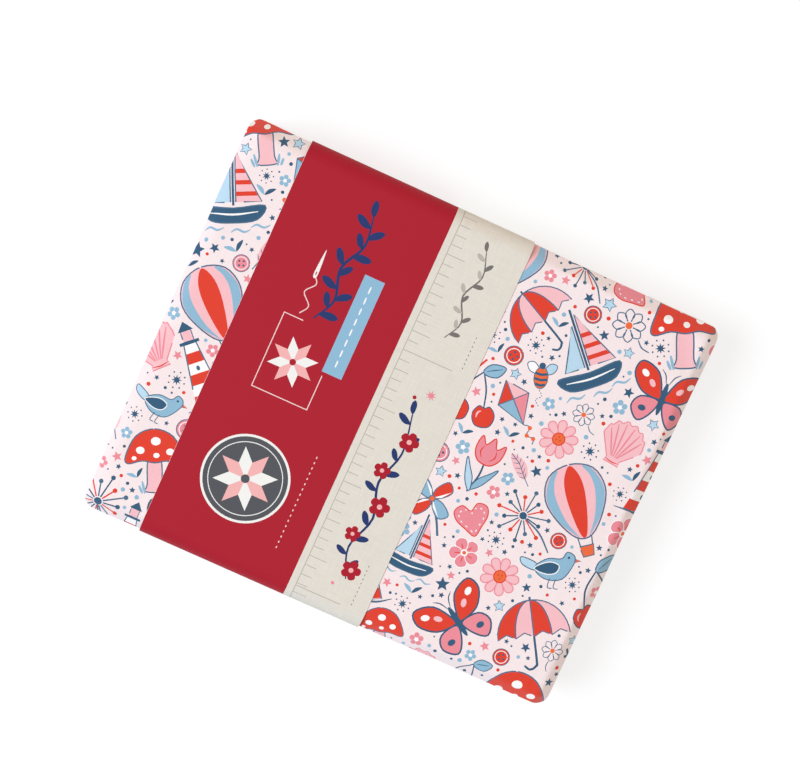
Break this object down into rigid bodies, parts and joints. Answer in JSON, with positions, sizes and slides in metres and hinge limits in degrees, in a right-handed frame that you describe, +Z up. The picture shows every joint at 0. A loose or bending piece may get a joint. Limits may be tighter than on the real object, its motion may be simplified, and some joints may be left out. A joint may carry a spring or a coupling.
{
  "type": "fat quarter bundle",
  "caption": "Stack of folded quilting cotton rectangles in matching colours, held together by one printed paper belly band.",
  "frame": {"origin": "middle of the bundle's underside, on the surface that it lies on", "axes": "+Z up through the stack, +X along the folded cloths' long way towards the half fold, Y across the short way that the band wraps"},
  "size_m": [0.2284, 0.192, 0.0432],
  "materials": {
    "cotton_brick": "plain-woven quilting cotton, matt",
    "cotton_cream": "plain-woven quilting cotton, matt",
    "cotton_ink": "plain-woven quilting cotton, matt",
    "cotton_coral": "plain-woven quilting cotton, matt",
    "cotton_sky": "plain-woven quilting cotton, matt",
    "cotton_tomato": "plain-woven quilting cotton, matt",
    "cotton_blush": "plain-woven quilting cotton, matt",
    "cotton_denim": "plain-woven quilting cotton, matt",
    "cotton_chalk": "plain-woven quilting cotton, matt",
    "cotton_orange": "plain-woven quilting cotton, matt",
    "cotton_lake": "plain-woven quilting cotton, matt",
    "cotton_rose": "plain-woven quilting cotton, matt",
    "cotton_navy": "plain-woven quilting cotton, matt",
    "cotton_paleblue": "plain-woven quilting cotton, matt",
    "cotton_red": "plain-woven quilting cotton, matt",
    "cotton_print": "plain-woven quilting cotton, matt, printed with small motifs on pale pink",
    "band_card": "uncoated printed card, red and natural linen coloured, slight sheen"
  },
  "bodies": {
    "root": {"fat_quarter_01": "cotton_brick", "fat_quarter_02": "cotton_cream", "fat_quarter_03": "cotton_ink", "fat_quarter_04": "cotton_coral", "fat_quarter_05": "cotton_sky", "fat_quarter_06": "cotton_tomato", "fat_quarter_07": "cotton_blush", "fat_quarter_08": "cotton_denim", "fat_quarter_09": "cotton_chalk", "fat_quarter_10": "cotton_orange", "fat_quarter_11": "cotton_lake", "fat_quarter_12": "cotton_rose", "fat_quarter_13": "cotton_navy", "fat_quarter_14": "cotton_paleblue", "fat_quarter_15": "cotton_red", "fat_quarter_16": "cotton_print", "belly_band": "band_card"}
  },
  "joints": []
}
